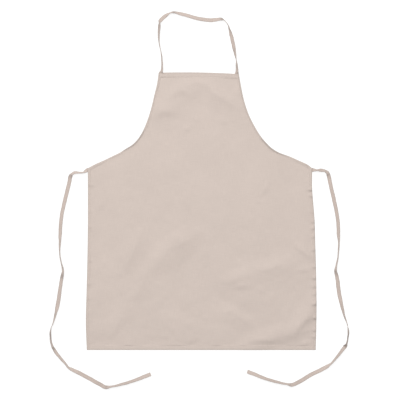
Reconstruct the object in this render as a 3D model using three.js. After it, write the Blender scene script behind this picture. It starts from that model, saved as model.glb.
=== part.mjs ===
// Bib apron in plain undyed cotton, lying flat and face up: one panel with turned hems, a neck strap and
// two waist ties of flat tape. Lengths are millimetres. +X points to the right of someone who looks down
// on it, +Y from the waist up to the bib, and +Z up from the surface that it lies on. The origin is on the
// underside of the panel, in the middle of the waist line, which joins the two corners where the ties are
// sewn.
import * as THREE from "three";

// The panel's outline
const bibWidth = 246; // between the two top corners
const bibHeight = 288; // from the waist line up to the lower of the two top corners
const bibArch = 5.5; // how far the top edge bows up above that corner
const archPeak = -0.35; // where the bow is highest, from -1 at the left corner to 1 at the right
const waistWidth = 686; // between the two tie corners
const skirtLength = 556; // from the waist line down to the bottom edge
const skirtFlare = 15; // the most that a side of the skirt bows out past its tie corner

// The panel's cloth and hems
const clothThickness = 1;
const hemThickness = 2;
const topHem = 14;
const bottomHem = 14;
const sideHem = 9;
const armholeHem = 7;
const hemSlope = 1.5; // the width over which a hem's thickness runs out into the cloth
const foldHeight = 6; // of the deepest soft fold
const foldWidth = 60; // from the crest of the widest soft fold to where it runs out
const foldEndShare = 0.35; // how high a fold still is at its ends, as a share of its crest

// The tape of the neck strap and the ties
const tapeWidth = 12;
const tapeThickness = 1.4;
const tapeTuck = 12; // the length of tape that is sewn in under a hem
const tapeStep = 12; // the longest facet along a tape
const seatGap = 0.3; // between a sewn end of tape and the cloth over it
const seatReach = 24; // how far past the sewn end the cloth over it stays raised
const seatSlope = 40; // the length over which that cloth comes back down

// The neck strap and the ties as they lie
const strapInset = 7; // from a top corner of the bib to the middle of the strap
const tieInset = 5; // from a tie corner down to the middle of the tie
const loopHeight = 188; // from the bib's lower top corner up to the strap's middle line at its highest
const tieReach = 303; // about the width that one tie covers
const tieDrop = 670; // from the waist line down to the lowest part of a tie

// The armholes, from the top corners down to the tie corners. Down is a share of bibHeight. Left and right
// are shares of the way from half the bib's width to half the waist's.
const armholes = [
  { down: 0, left: 0.016, right: -0.018 },
  { down: 0.11, left: 0.037, right: 0.007 },
  { down: 0.24, left: 0.079, right: 0.041 },
  { down: 0.35, left: 0.113, right: 0.081 },
  { down: 0.47, left: 0.161, right: 0.143 },
  { down: 0.6, left: 0.231, right: 0.235 },
  { down: 0.685, left: 0.299, right: 0.311 },
  { down: 0.75, left: 0.381, right: 0.388 },
  { down: 0.79, left: 0.465, right: 0.446 },
  { down: 0.835, left: 0.558, right: 0.545 },
  { down: 0.875, left: 0.667, right: 0.69 },
  { down: 0.917, left: 0.779, right: 0.812 },
  { down: 0.96, left: 0.906, right: 0.934 },
  { down: 1, left: 1, right: 1 },
];

// The sides of the skirt. Down is a share of skirtLength, left and right are shares of skirtFlare.
const sides = [
  { down: 0, left: 0, right: 0 },
  { down: 0.11, left: 0, right: 0 },
  { down: 0.2, left: 0, right: 0.26 },
  { down: 0.29, left: 0, right: 0.52 },
  { down: 0.42, left: 0.05, right: 0.65 },
  { down: 0.55, left: 0.14, right: 0.8 },
  { down: 0.68, left: 0.27, right: 0.87 },
  { down: 0.85, left: 0.42, right: 0.87 },
  { down: 1, left: 0.22, right: 0.74 },
];

// Soft folds, each a ridge from one place to another. The x columns are shares of half the waist's width.
// The y columns are shares of bibHeight above the waist line and of skirtLength below it. Width and height
// are shares of foldWidth and foldHeight.
const folds = [
  { fromX: -0.05, fromY: 0.92, toX: 0.32, toY: 0.62, width: 0.8, height: 0.5 },
  { fromX: -0.05, fromY: 0.9, toX: -0.46, toY: 0.5, width: 0.9, height: 0.5 },
  { fromX: 0.0, fromY: -0.34, toX: -0.46, toY: -0.57, width: 1, height: 0.65 },
  { fromX: -0.49, fromY: -0.34, toX: -0.65, toY: -0.53, width: 0.8, height: 0.45 },
  { fromX: -0.52, fromY: -0.66, toX: -0.8, toY: -0.92, width: 0.9, height: 0.45 },
  { fromX: 0.12, fromY: -0.66, toX: 0.5, toY: -0.585, width: 0.8, height: 0.5 },
  { fromX: 0.55, fromY: -0.57, toX: 0.86, toY: -0.5, width: 0.7, height: 0.45 },
  { fromX: 0.2, fromY: -0.78, toX: 0.47, toY: -0.89, width: 0.7, height: 0.5 },
  { fromX: -0.36, fromY: -0.84, toX: 0.02, toY: -0.93, width: 0.7, height: 0.4 },
  { fromX: 0.42, fromY: -0.97, toX: 0.9, toY: -0.88, width: 0.7, height: 1 },
  { fromX: 0.86, fromY: -0.9, toX: 1.04, toY: -0.7, width: 0.7, height: 0.8 },
];

// The neck strap from the left corner over to the right one. Across is a share of the distance between its
// two ends, up a share of loopHeight. Roll is in degrees: 0 and 180 lie flat, 90 stands on an edge.
const neckRoute = [
  { across: 0.009, up: 0.04, roll: 4 },
  { across: 0.016, up: 0.149, roll: 60 },
  { across: 0.01, up: 0.28, roll: 73 },
  { across: 0, up: 0.391, roll: 86 },
  { across: -0.027, up: 0.498, roll: 109 },
  { across: -0.028, up: 0.617, roll: 119 },
  { across: -0.021, up: 0.775, roll: 143 },
  { across: -0.005, up: 0.872, roll: 170 },
  { across: 0.044, up: 0.933, roll: 166 },
  { across: 0.121, up: 0.993, roll: 117 },
  { across: 0.182, up: 1, roll: 127 },
  { across: 0.283, up: 0.973, roll: 149 },
  { across: 0.512, up: 0.899, roll: 158 },
  { across: 0.67, up: 0.879, roll: 170 },
  { across: 0.791, up: 0.895, roll: 133 },
  { across: 0.848, up: 0.869, roll: 103 },
  { across: 0.885, up: 0.8, roll: 84 },
  { across: 0.903, up: 0.732, roll: 63 },
  { across: 0.929, up: 0.618, roll: 30 },
  { across: 0.961, up: 0.45, roll: 28 },
  { across: 0.978, up: 0.339, roll: 61 },
  { across: 0.994, up: 0.23, roll: 77 },
  { across: 1, up: 0.134, roll: 58 },
  { across: 1.004, up: 0.04, roll: 4 },
];

// The two ties from their corners to their free ends. Out is a share of tieReach away from the panel, down
// a share of tieDrop below the waist line. Roll is as on the neck strap.
const leftTieRoute = [
  { out: 0.018, down: 0.012, roll: 4 },
  { out: 0.046, down: 0.019, roll: 61 },
  { out: 0.086, down: 0.02, roll: 63 },
  { out: 0.131, down: 0.019, roll: 42 },
  { out: 0.159, down: 0.026, roll: 49 },
  { out: 0.176, down: 0.037, roll: 10 },
  { out: 0.186, down: 0.06, roll: 5 },
  { out: 0.267, down: 0.222, roll: 20 },
  { out: 0.279, down: 0.295, roll: 27 },
  { out: 0.282, down: 0.34, roll: 60 },
  { out: 0.284, down: 0.385, roll: 73 },
  { out: 0.273, down: 0.43, roll: 68 },
  { out: 0.253, down: 0.469, roll: 61 },
  { out: 0.264, down: 0.503, roll: 37 },
  { out: 0.304, down: 0.62, roll: 10 },
  { out: 0.325, down: 0.664, roll: 51 },
  { out: 0.353, down: 0.71, roll: 76 },
  { out: 0.367, down: 0.725, roll: 90 },
  { out: 0.376, down: 0.757, roll: 117 },
  { out: 0.369, down: 0.799, roll: 112 },
  { out: 0.327, down: 0.839, roll: 149 },
  { out: 0.218, down: 0.897, roll: 122 },
  { out: 0.196, down: 0.911, roll: 122 },
  { out: 0.161, down: 0.919, roll: 140 },
  { out: 0.062, down: 0.942, roll: 172 },
  { out: -0.114, down: 0.984, roll: 174 },
  { out: -0.177, down: 1, roll: 170 },
  { out: -0.243, down: 0.998, roll: 119 },
  { out: -0.421, down: 0.977, roll: 138 },
  { out: -0.635, down: 0.94, roll: 168 },
];
const rightTieRoute = [
  { out: 0.018, down: 0.008, roll: 4 },
  { out: 0.049, down: 0.009, roll: 51 },
  { out: 0.09, down: 0.009, roll: 23 },
  { out: 0.126, down: 0.011, roll: 42 },
  { out: 0.157, down: 0.022, roll: 23 },
  { out: 0.169, down: 0.038, roll: 6 },
  { out: 0.184, down: 0.072, roll: 8 },
  { out: 0.257, down: 0.231, roll: 27 },
  { out: 0.266, down: 0.297, roll: 34 },
  { out: 0.271, down: 0.341, roll: 61 },
  { out: 0.263, down: 0.4, roll: 66 },
  { out: 0.246, down: 0.443, roll: 66 },
  { out: 0.237, down: 0.467, roll: 49 },
  { out: 0.251, down: 0.497, roll: 31 },
  { out: 0.274, down: 0.575, roll: 6 },
  { out: 0.299, down: 0.628, roll: 40 },
  { out: 0.325, down: 0.676, roll: 63 },
  { out: 0.352, down: 0.711, roll: 88 },
  { out: 0.363, down: 0.745, roll: 115 },
  { out: 0.357, down: 0.782, roll: 112 },
  { out: 0.325, down: 0.82, roll: 150 },
  { out: 0.197, down: 0.89, roll: 120 },
  { out: 0.127, down: 0.912, roll: 170 },
  { out: -0.01, down: 0.944, roll: 172 },
  { out: -0.14, down: 0.978, roll: 172 },
  { out: -0.203, down: 0.989, roll: 153 },
  { out: -0.258, down: 0.986, roll: 119 },
  { out: -0.43, down: 0.967, roll: 135 },
  { out: -0.655, down: 0.928, roll: 168 },
];

// How finely the panel is cut into facets
const skirtRows = 20;
const bibRows = 15;
const columns = 24;
const rowSpread = 1.2; // above 1, rows crowd towards the waist line, where the outline turns fastest
const hemDiscSteps = 12;

// A column of a table at a share of the way down it, on a smooth curve through the rows.
function readTable(rows, down, column) {
  let next = 1;
  while (next < rows.length - 1 && rows[next].down < down) next++;
  const from = rows[next - 1];
  const to = rows[next];
  const before = rows[Math.max(next - 2, 0)];
  const after = rows[Math.min(next + 1, rows.length - 1)];
  const span = to.down - from.down;
  const slopeAtFrom = (to[column] - before[column]) / (to.down - before.down);
  const slopeAtTo = (after[column] - from[column]) / (after.down - from.down);
  const t = THREE.MathUtils.clamp((down - from.down) / span, 0, 1);
  return (
    from[column] * (2 * t ** 3 - 3 * t ** 2 + 1) +
    to[column] * (3 * t ** 2 - 2 * t ** 3) +
    span * slopeAtFrom * (t ** 3 - 2 * t ** 2 + t) +
    span * slopeAtTo * (t ** 3 - t ** 2)
  );
}

// Distance from the middle line out to the panel's left or right edge, at a height on it.
function halfWidth(side, y) {
  if (y > 0) {
    const spread = readTable(armholes, 1 - y / bibHeight, side);
    return THREE.MathUtils.lerp(bibWidth / 2, waistWidth / 2, spread);
  }
  return waistWidth / 2 + skirtFlare * readTable(sides, -y / skirtLength, side);
}

// The same distance for a line inside the edge: the inner edge of the hem, or a line short of it by some
// width. A disc of the hem's width that rolls along the edge marks the line.
function insideHem(side, y, shortBy) {
  let half = Infinity;
  for (let step = -hemDiscSteps; step <= hemDiscSteps; step++) {
    const angle = (step / hemDiscSteps) * (Math.PI / 2);
    for (const hem of [armholeHem, sideHem]) {
      const radius = hem - shortBy;
      const edgeY = THREE.MathUtils.clamp(y + radius * Math.sin(angle), -skirtLength, bibHeight);
      const onItsHem = hem === armholeHem ? edgeY >= 0 : edgeY <= 0;
      if (onItsHem) half = Math.min(half, halfWidth(side, edgeY) - radius * Math.cos(angle));
    }
  }
  return half;
}

// How much a row of the panel bows up at a place across it, from -1 at the left edge to 1 at the right.
function rowBow(y, across) {
  const nearTop = (Math.max(y, 0) / bibHeight) ** 2;
  return bibArch * nearTop * (1 - ((across - archPeak) / (1 - archPeak)) ** 2);
}

// Where a sewn end of tape lies: the place that it leaves the panel's edge, and its end under the hem.
function neckSeat(side) {
  const outward = side === "left" ? -1 : 1;
  const x = outward * (halfWidth(side, bibHeight) - strapInset);
  const edge = new THREE.Vector2(x, bibHeight + rowBow(bibHeight, outward));
  return { edge, end: edge.clone().setY(edge.y - tapeTuck) };
}
function tieSeat(side) {
  const outward = side === "left" ? -1 : 1;
  const edge = new THREE.Vector2(outward * halfWidth(side, 0), -tieInset);
  return { edge, end: edge.clone().setX(edge.x - outward * tapeTuck) };
}
const seats = [neckSeat("left"), neckSeat("right"), tieSeat("left"), tieSeat("right")];

// Height of the panel's underside: raised over each sewn end of tape and under each soft fold, else flat.
function undersideHeight(x, y) {
  const place = new THREE.Vector3(x, y, 0);
  const nearest = new THREE.Vector3();
  const line = new THREE.Line3();
  let height = 0;
  for (const { edge, end } of seats) {
    line.set(new THREE.Vector3(edge.x, edge.y, 0), new THREE.Vector3(end.x, end.y, 0));
    const away = line.closestPointToPoint(place, true, nearest).distanceTo(place);
    const down = THREE.MathUtils.smoothstep(away, seatReach, seatReach + seatSlope);
    height = Math.max(height, (tapeThickness + seatGap) * (1 - down));
  }
  for (const fold of folds) {
    const start = placeOnPanel(fold.fromX, fold.fromY);
    const end = placeOnPanel(fold.toX, fold.toY);
    line.set(start, end);
    const along = line.closestPointToPointParameter(place, true);
    const away = line.closestPointToPoint(place, true, nearest).distanceTo(place);
    const across = THREE.MathUtils.clamp(away / (fold.width * foldWidth), 0, 1);
    const crest = THREE.MathUtils.lerp(foldEndShare, 1, Math.sin(Math.PI * along));
    height += fold.height * foldHeight * crest * Math.cos((across * Math.PI) / 2) ** 2;
  }
  return height;
}

// A place given in the shares of the table of folds.
function placeOnPanel(shareX, shareY) {
  return new THREE.Vector3(
    (shareX * waistWidth) / 2,
    shareY * (shareY > 0 ? bibHeight : skirtLength),
    0,
  );
}

// A closed mesh from its corners and its triangles.
function closedMesh(name, material, positions, triangles) {
  const geometry = new THREE.BufferGeometry();
  geometry.setAttribute("position", new THREE.Float32BufferAttribute(positions, 3));
  geometry.setIndex(triangles);
  geometry.computeVertexNormals();
  const mesh = new THREE.Mesh(geometry, material);
  mesh.name = name;
  return mesh;
}

// The panel's rows from the bottom edge up to the top edge. Those in a hem have its full thickness.
function panelRows() {
  const rows = [
    { y: -skirtLength, inHem: true },
    { y: -skirtLength + bottomHem - hemSlope, inHem: true },
  ];
  for (let row = skirtRows; row > 0; row--) {
    rows.push({ y: (bottomHem - skirtLength) * (row / skirtRows) ** rowSpread, inHem: false });
  }
  for (let row = 0; row <= bibRows; row++) {
    rows.push({ y: (bibHeight - topHem) * (row / bibRows) ** rowSpread, inHem: false });
  }
  rows.push({ y: bibHeight - topHem + hemSlope, inHem: true });
  rows.push({ y: bibHeight, inHem: true });
  return rows;
}

// The corners of one row from left to right: edge, hem, its slope, the plain cloth, and the same on the
// right.
function panelRow({ y, inHem }) {
  const left = insideHem("left", y, 0);
  const right = insideHem("right", y, 0);
  const corners = [
    { x: -halfWidth("left", y), thick: true },
    { x: -insideHem("left", y, hemSlope), thick: true },
  ];
  for (let column = 0; column <= columns; column++) {
    corners.push({ x: THREE.MathUtils.lerp(-left, right, column / columns), thick: inHem });
  }
  corners.push({ x: insideHem("right", y, hemSlope), thick: true });
  corners.push({ x: halfWidth("right", y), thick: true });
  return corners.map(({ x, thick }) => {
    const across = x / halfWidth(x < 0 ? "left" : "right", y);
    const rowY = y + rowBow(y, across);
    const low = undersideHeight(x, rowY);
    const high = low + (thick ? hemThickness : clothThickness);
    return { low: [x, rowY, low], high: [x, rowY, high] };
  });
}

function makePanel(material) {
  const rows = panelRows().map(panelRow);
  const positions = rows.flat().flatMap(({ low, high }) => [...low, ...high]);
  const across = rows[0].length;
  const lowAt = (row, column) => 2 * (row * across + column);
  const triangles = [];
  const addQuad = (a, b, c, d) => triangles.push(a, b, c, a, c, d);
  for (let row = 0; row < rows.length - 1; row++) {
    for (let column = 0; column < across - 1; column++) {
      const ring = [
        lowAt(row, column),
        lowAt(row, column + 1),
        lowAt(row + 1, column + 1),
        lowAt(row + 1, column),
      ];
      addQuad(...ring.map((corner) => corner + 1));
      addQuad(...ring.reverse());
    }
  }
  const border = [];
  for (let column = 0; column < across - 1; column++) border.push(lowAt(0, column));
  for (let row = 0; row < rows.length - 1; row++) border.push(lowAt(row, across - 1));
  for (let column = across - 1; column > 0; column--) border.push(lowAt(rows.length - 1, column));
  for (let row = rows.length - 1; row > 0; row--) border.push(lowAt(row, 0));
  border.forEach((corner, index) => {
    const next = border[(index + 1) % border.length];
    addQuad(corner, next, next + 1, corner + 1);
  });
  return closedMesh("panel", material, positions, triangles);
}

// A flat tape along a route of points, each with its roll. It rests on the surface at every roll.
function makeTape(name, material, route) {
  const curve = new THREE.CatmullRomCurve3(
    route.map(({ x, y }) => new THREE.Vector3(x, y, 0)),
    false,
    "centripetal",
  );
  const spans = route.length - 1;
  const positions = [];
  let sections = 0;
  const addSection = (span, share) => {
    const t = Math.min((span + share) / spans, 1);
    const centre = curve.getPoint(t);
    const tangent = curve.getTangent(t).setZ(0).normalize();
    const eased = THREE.MathUtils.smoothstep(share, 0, 1);
    const nextRoll = route[Math.min(span + 1, spans)].roll;
    const roll = THREE.MathUtils.degToRad(THREE.MathUtils.lerp(route[span].roll, nextRoll, eased));
    const upright = Math.abs(Math.sin(roll)) * tapeWidth;
    const flat = Math.abs(Math.cos(roll)) * tapeThickness;
    centre.z = (upright + flat) / 2;
    const acrossTape = new THREE.Vector3(-tangent.y, tangent.x, 0)
      .multiplyScalar(Math.cos(roll))
      .setZ(Math.sin(roll));
    const throughTape = new THREE.Vector3().crossVectors(tangent, acrossTape);
    for (const [across, through] of [[1, -1], [-1, -1], [-1, 1], [1, 1]]) {
      const corner = centre
        .clone()
        .addScaledVector(acrossTape, (across * tapeWidth) / 2)
        .addScaledVector(throughTape, (through * tapeThickness) / 2);
      positions.push(corner.x, corner.y, corner.z);
    }
    sections++;
  };
  for (let span = 0; span < spans; span++) {
    const length = Math.hypot(route[span + 1].x - route[span].x, route[span + 1].y - route[span].y);
    const steps = Math.ceil(length / tapeStep);
    for (let step = 0; step < steps; step++) addSection(span, step / steps);
  }
  addSection(spans, 0);
  const triangles = [0, 1, 2, 0, 2, 3];
  for (let section = 0; section < sections - 1; section++) {
    for (let corner = 0; corner < 4; corner++) {
      const here = 4 * section + corner;
      const beside = 4 * section + ((corner + 1) % 4);
      triangles.push(here, here + 4, beside + 4, here, beside + 4, beside);
    }
  }
  const last = 4 * (sections - 1);
  triangles.push(last, last + 2, last + 1, last, last + 3, last + 2);
  return closedMesh(name, material, positions, triangles);
}

function makeNeckStrap(material) {
  const left = neckSeat("left");
  const right = neckSeat("right");
  const between = neckRoute.map(({ across, up, roll }) => ({
    x: THREE.MathUtils.lerp(left.edge.x, right.edge.x, across),
    y: bibHeight + up * loopHeight,
    roll,
  }));
  const ends = [left, right].map(({ edge, end }) => [
    { x: end.x, y: end.y, roll: 0 },
    { x: edge.x, y: edge.y, roll: 0 },
  ]);
  return makeTape("neck_strap", material, [...ends[0], ...between, ...ends[1].reverse()]);
}

function makeTie(name, material, side, route) {
  const outward = side === "left" ? -1 : 1;
  const { edge, end } = tieSeat(side);
  const free = route.map(({ out, down, roll }) => ({
    x: edge.x + outward * out * tieReach,
    y: -down * tieDrop,
    roll,
  }));
  return makeTape(name, material, [
    { x: end.x, y: end.y, roll: 0 },
    { x: edge.x, y: edge.y, roll: 0 },
    ...free,
  ]);
}

const cotton = new THREE.MeshStandardMaterial({ color: 0xd6c8bf, roughness: 0.95, metalness: 0 });
const cottonTape = new THREE.MeshStandardMaterial({ color: 0xcfc0b4, roughness: 0.95, metalness: 0 });

const apron = new THREE.Group();
apron.add(makePanel(cotton));
apron.add(makeNeckStrap(cottonTape));
apron.add(makeTie("tie_left", cottonTape, "left", leftTieRoute));
apron.add(makeTie("tie_right", cottonTape, "right", rightTieRoute));

export default apron;
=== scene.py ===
"""Bib apron in plain undyed cotton, lying flat and face up on a pale floor.

One panel with turned and stitched hems, a neck strap and two waist ties of folded tape. Each piece lies
where its solid lies in the frame, the tapes within about 2 mm. Lengths are metres. +X points to the right of
someone who looks down on the apron, +Y from the waist up to the bib, and +Z up from the floor. The origin is
in the middle of the waist line, which joins the two corners where the ties are sewn.
"""

import logging
import math
from dataclasses import dataclass, field
from enum import Enum
from typing import Any, Callable, NamedTuple, Sequence

import bpy
import numpy as np
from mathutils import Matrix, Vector
from mathutils.bvhtree import BVHTree


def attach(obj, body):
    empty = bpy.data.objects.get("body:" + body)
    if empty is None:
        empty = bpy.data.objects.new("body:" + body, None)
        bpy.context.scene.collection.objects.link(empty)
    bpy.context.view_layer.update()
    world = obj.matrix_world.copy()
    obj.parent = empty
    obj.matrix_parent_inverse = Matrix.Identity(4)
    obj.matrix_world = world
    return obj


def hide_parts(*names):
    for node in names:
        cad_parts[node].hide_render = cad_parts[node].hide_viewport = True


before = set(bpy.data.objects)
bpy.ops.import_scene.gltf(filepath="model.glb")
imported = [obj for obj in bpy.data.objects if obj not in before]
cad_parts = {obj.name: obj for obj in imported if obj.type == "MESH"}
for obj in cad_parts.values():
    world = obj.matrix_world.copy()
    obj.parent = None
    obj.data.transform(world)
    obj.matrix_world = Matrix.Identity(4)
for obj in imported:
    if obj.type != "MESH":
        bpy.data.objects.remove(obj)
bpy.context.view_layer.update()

BODY = "root"
MM = 0.001
WHITE = (1.0, 1.0, 1.0, 1.0)
Array = np.ndarray
log = logging.getLogger("bib_apron")


class Side(Enum):
    """A side of the apron, as the sign of its X."""

    LEFT = -1
    RIGHT = 1


class Face(Enum):
    """A face of the cloth, as the sign of its Z."""

    UNDER = -1
    UPPER = 1


class Slot(Enum):
    """The record's material slots."""

    COTTON = "cotton"
    TAPE = "cotton_tape"


class EdgeRow(NamedTuple):
    """A place on the panel's edge: its share of the way down, and how far out the edge is on each side."""

    down: float
    left: float
    right: float


class Fold(NamedTuple):
    """A soft ridge. X in shares of half the waist, Y of the bib's height above the waist line and of the
    skirt's length below it. Width and height are shares of the widest and the highest fold."""

    from_x: float
    from_y: float
    to_x: float
    to_y: float
    width: float
    height: float


class Crease(NamedTuple):
    """A narrow ridge along a few places, with the widths of its steep and gentle sides and its height, all in
    millimetres. Its steep side is on the right of someone who walks from the first place to the last, and the
    places follow the middle of that side."""

    places: tuple[tuple[float, float], ...]
    steep: float
    gentle: float
    height: float


class Tuck(NamedTuple):
    """A short ridge across a side hem: the side, Y on the panel and how high it is, in millimetres."""

    side: Side
    y: float
    height: float


class StrapRow(NamedTuple):
    """A place on the neck strap: across from corner to corner, up in shares of the loop, roll in degrees."""

    across: float
    up: float
    roll: float


class TieRow(NamedTuple):
    """A place on a tie: out from the panel and down from the waist, in shares, and roll in degrees."""

    out: float
    down: float
    roll: float


class Kink(NamedTuple):
    """A place where a tape turns over: how far along it is, how far it reaches, how high it stands, all in
    millimetres, and how much painted shade it takes, standing in for the shade in the turn."""

    along: float
    reach: float
    lift: float
    shade: float


class Place(NamedTuple):
    """A place on a tape's middle line, in metres, and the tape's roll in degrees."""

    x: float
    y: float
    roll: float


def rows_of(kind: type, *rows: tuple[Any, ...]) -> tuple[Any, ...]:
    """Turns the plain rows of a table into rows of one kind."""
    return tuple(kind(*row) for row in rows)


ARMHOLES = rows_of(
    EdgeRow,
    (0, 0.016, -0.018), (0.11, 0.037, 0.007), (0.24, 0.079, 0.041), (0.35, 0.113, 0.081),
    (0.47, 0.161, 0.143), (0.6, 0.231, 0.235), (0.685, 0.299, 0.311), (0.75, 0.381, 0.388),
    (0.79, 0.465, 0.446), (0.835, 0.558, 0.545), (0.875, 0.667, 0.69), (0.917, 0.779, 0.812),
    (0.96, 0.906, 0.934), (1, 1, 1),
)
SIDES = rows_of(
    EdgeRow,
    (0, 0, 0), (0.11, 0, 0), (0.2, 0, 0.26), (0.29, 0, 0.52), (0.42, 0.05, 0.65), (0.55, 0.14, 0.8),
    (0.68, 0.27, 0.87), (0.85, 0.42, 0.87), (1, 0.22, 0.74),
)
FOLDS = rows_of(
    Fold,
    (-0.05, 0.92, 0.32, 0.62, 0.8, 0.5), (-0.05, 0.9, -0.46, 0.5, 0.9, 0.5),
    (0.0, -0.34, -0.46, -0.57, 1, 0.65), (-0.49, -0.34, -0.65, -0.53, 0.8, 0.45),
    (-0.52, -0.66, -0.8, -0.92, 0.9, 0.45), (0.12, -0.66, 0.5, -0.585, 0.8, 0.5),
    (0.55, -0.57, 0.86, -0.5, 0.7, 0.45), (0.2, -0.78, 0.47, -0.89, 0.7, 0.5),
    (-0.36, -0.84, 0.02, -0.93, 0.7, 0.4), (0.42, -0.97, 0.9, -0.88, 0.7, 1),
    (0.86, -0.9, 1.04, -0.7, 0.7, 0.8),
)
CREASES = rows_of(
    Crease,
    (((-193, -345), (-159, -327), (-135, -308), (-113, -281), (-92, -250), (-61, -241), (-21, -216),
      (-3, -195)), 10, 32, 1.8),
    (((-95, -247), (-76, -219), (-49, -238)), 12, 16, 1.3),
    (((-3, -195), (12, -210), (28, -229)), 9, 14, 1.3),
    (((-248, -339), (-223, -305), (-205, -271), (-190, -238), (-177, -210), (-162, -186)), 10, 28, 1.6),
    (((-269, -516), (-251, -486), (-233, -455), (-217, -427)), 9, 20, 1.1),
    (((-116, -476), (-86, -461), (-61, -470), (-31, -489), (0, -501)), 14, 20, 2.0),
    (((-129, -516), (-95, -522)), 6, 10, 1.0),
    (((-73, -528), (-37, -535), (0, -525)), 7, 14, 1.5),
    (((-214, -406), (-193, -394), (-174, -372)), 11, 16, 0.9),
    (((58, -351), (92, -354), (116, -342), (153, -336)), 8, 20, 1.1),
    (((177, -320), (208, -314), (233, -305), (257, -296)), 8, 16, 1.1),
    (((113, -369), (144, -366)), 7, 10, 1.2),
    (((165, -363), (187, -385)), 5, 9, 0.8),
    (((288, -238), (306, -253), (321, -265), (340, -281)), 7, 13, 2.8),
    (((300, -317), (334, -314)), 7, 12, 2.1),
    (((233, -351), (269, -345)), 7, 12, 1.0),
    (((73, -446), (95, -443), (116, -458), (138, -473), (156, -486)), 9, 13, 2.3),
    (((150, -533), (185, -530), (209, -531), (234, -530)), 8, 18, 2.1),
    (((293, -513), (300, -502), (309, -487), (323, -470), (344, -455)), 10, 17, 3.6),
    (((312, -507), (337, -498)), 5, 8, 1.5),
    (((312, -541), (340, -535)), 5, 8, 1.5),
    (((-89, 209), (-70, 227), (-49, 230), (-31, 218), (-18, 206)), 14, 24, 3.4),
    (((12, 258), (28, 240), (43, 221), (64, 209), (89, 194), (107, 181)), 13, 22, 3.3),
    (((-31, 252), (-9, 258), (12, 252)), 9, 9, 1.4),
    (((95, 264), (104, 240), (116, 218)), 8, 10, 3.6),
    (((-135, 157), (-113, 166), (-92, 166), (-67, 154)), 14, 22, 3.4),
    (((-49, 114), (-28, 117)), 8, 12, 1.6),
    (((-18, 142), (3, 145)), 8, 10, 1.3),
    (((61, 139), (86, 136)), 8, 10, 1.3),
    (((168, -106), (196, -106)), 4, 7, 1.0),
    (((190, -85), (205, -66), (220, -45)), 8, 10, 1.2),
    (((24, -39), (43, -66), (49, -88)), 6, 8, 1.0),
    (((-315, -140), (-303, -118), (-294, -100)), 9, 12, 1.5),
    (((-340, -57), (-318, -54)), 5, 9, 1.2),
)
TUCKS = tuple(
    Tuck(side, y, height)
    for side, rows in {
        Side.RIGHT: (
            (-69, 2.9), (-88, 2.0), (-137, 1.1), (-167, 1.8), (-187, 2.2), (-213, 1.5), (-253, 2.0),
            (-305, 2.0), (-339, 2.4), (-365, 1.8), (-388, 1.8), (-418, 3.3), (-461, 3.3), (-498, 2.2),
            (-519, 1.8),
        ),
        Side.LEFT: (
            (-54, 1.3), (-137, 0.8), (-183, 1.0), (-287, 1.0), (-357, 1.1), (-403, 1.0),
        ),
    }.items()
    for y, height in rows
)
NECK_ROUTE = rows_of(
    StrapRow,
    (0.009, 0.04, 130), (0.016, 0.149, 114), (0.01, 0.28, 106), (-0.005, 0.391, 94), (-0.023, 0.498, 101),
    (-0.028, 0.617, 118), (-0.022, 0.775, 131), (-0.018, 0.826, 114), (-0.005, 0.874, 170),
    (0.044, 0.933, 170), (0.121, 0.993, 113), (0.182, 1, 129), (0.283, 0.973, 154), (0.512, 0.899, 166),
    (0.67, 0.879, 172), (0.789, 0.892, 144), (0.84, 0.871, 100), (0.885, 0.8, 90), (0.903, 0.732, 71),
    (0.929, 0.618, 33), (0.961, 0.45, 33), (0.978, 0.339, 61), (0.994, 0.23, 86), (1, 0.134, 63),
    (1.004, 0.04, 47),
)
LEFT_TIE_ROUTE = rows_of(
    TieRow,
    (0.018, 0.012, 30), (0.046, 0.019, 70), (0.086, 0.02, 65), (0.131, 0.019, 44), (0.159, 0.026, 49),
    (0.176, 0.037, 10), (0.186, 0.06, 5), (0.267, 0.222, 20), (0.279, 0.295, 27), (0.282, 0.34, 54),
    (0.284, 0.385, 71), (0.268, 0.43, 70), (0.249, 0.469, 53), (0.264, 0.503, 31), (0.304, 0.62, 6),
    (0.325, 0.664, 51), (0.353, 0.71, 76), (0.367, 0.725, 90), (0.376, 0.757, 107), (0.366, 0.799, 109),
    (0.324, 0.838, 132), (0.284, 0.8603, 124), (0.217, 0.8962, 109), (0.198, 0.908, 110),
    (0.16, 0.9182, 138), (0.0605, 0.9408, 172), (-0.114, 0.984, 174), (-0.178, 0.9982, 152),
    (-0.242, 0.9953, 109), (-0.42, 0.9754, 131), (-0.635, 0.9395, 158),
)
RIGHT_TIE_ROUTE = rows_of(
    TieRow,
    (0.018, 0.008, -40), (0.049, 0.009, -64), (0.09, 0.009, -32), (0.126, 0.011, -50), (0.157, 0.022, -26),
    (0.169, 0.038, 6), (0.184, 0.072, 20), (0.257, 0.231, 33), (0.264, 0.297, 39), (0.267, 0.341, 74),
    (0.26, 0.4, 82), (0.243, 0.443, 75), (0.233, 0.467, 53), (0.25, 0.497, 31), (0.274, 0.575, 6),
    (0.299, 0.628, 45), (0.325, 0.676, 73), (0.352, 0.711, 88), (0.363, 0.745, 117), (0.357, 0.782, 112),
    (0.347, 0.799, 120), (0.3325, 0.8135, 174), (0.322, 0.8185, 221), (0.194, 0.889, 252),
    (0.1255, 0.911, 206), (-0.0125, 0.942, 188), (-0.141, 0.9772, 188), (-0.204, 0.9875, 214),
    (-0.2575, 0.9845, 250), (-0.4295, 0.9655, 230), (-0.655, 0.9275, 202),
)
# Painted shade and lift where the tapes turn over; some kinks only paint shade on a stretch of tape.
NECK_KINKS = rows_of(
    Kink,
    (150, 16, 2, 0.4), (167, 6, 2, 0.35), (224, 6, 3, 0.75), (374, 6, 3, 0.9), (416, 7, 1, 0.15),
    (480, 8, 1, 0.35), (531, 9, 0, 0.4),
)
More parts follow.
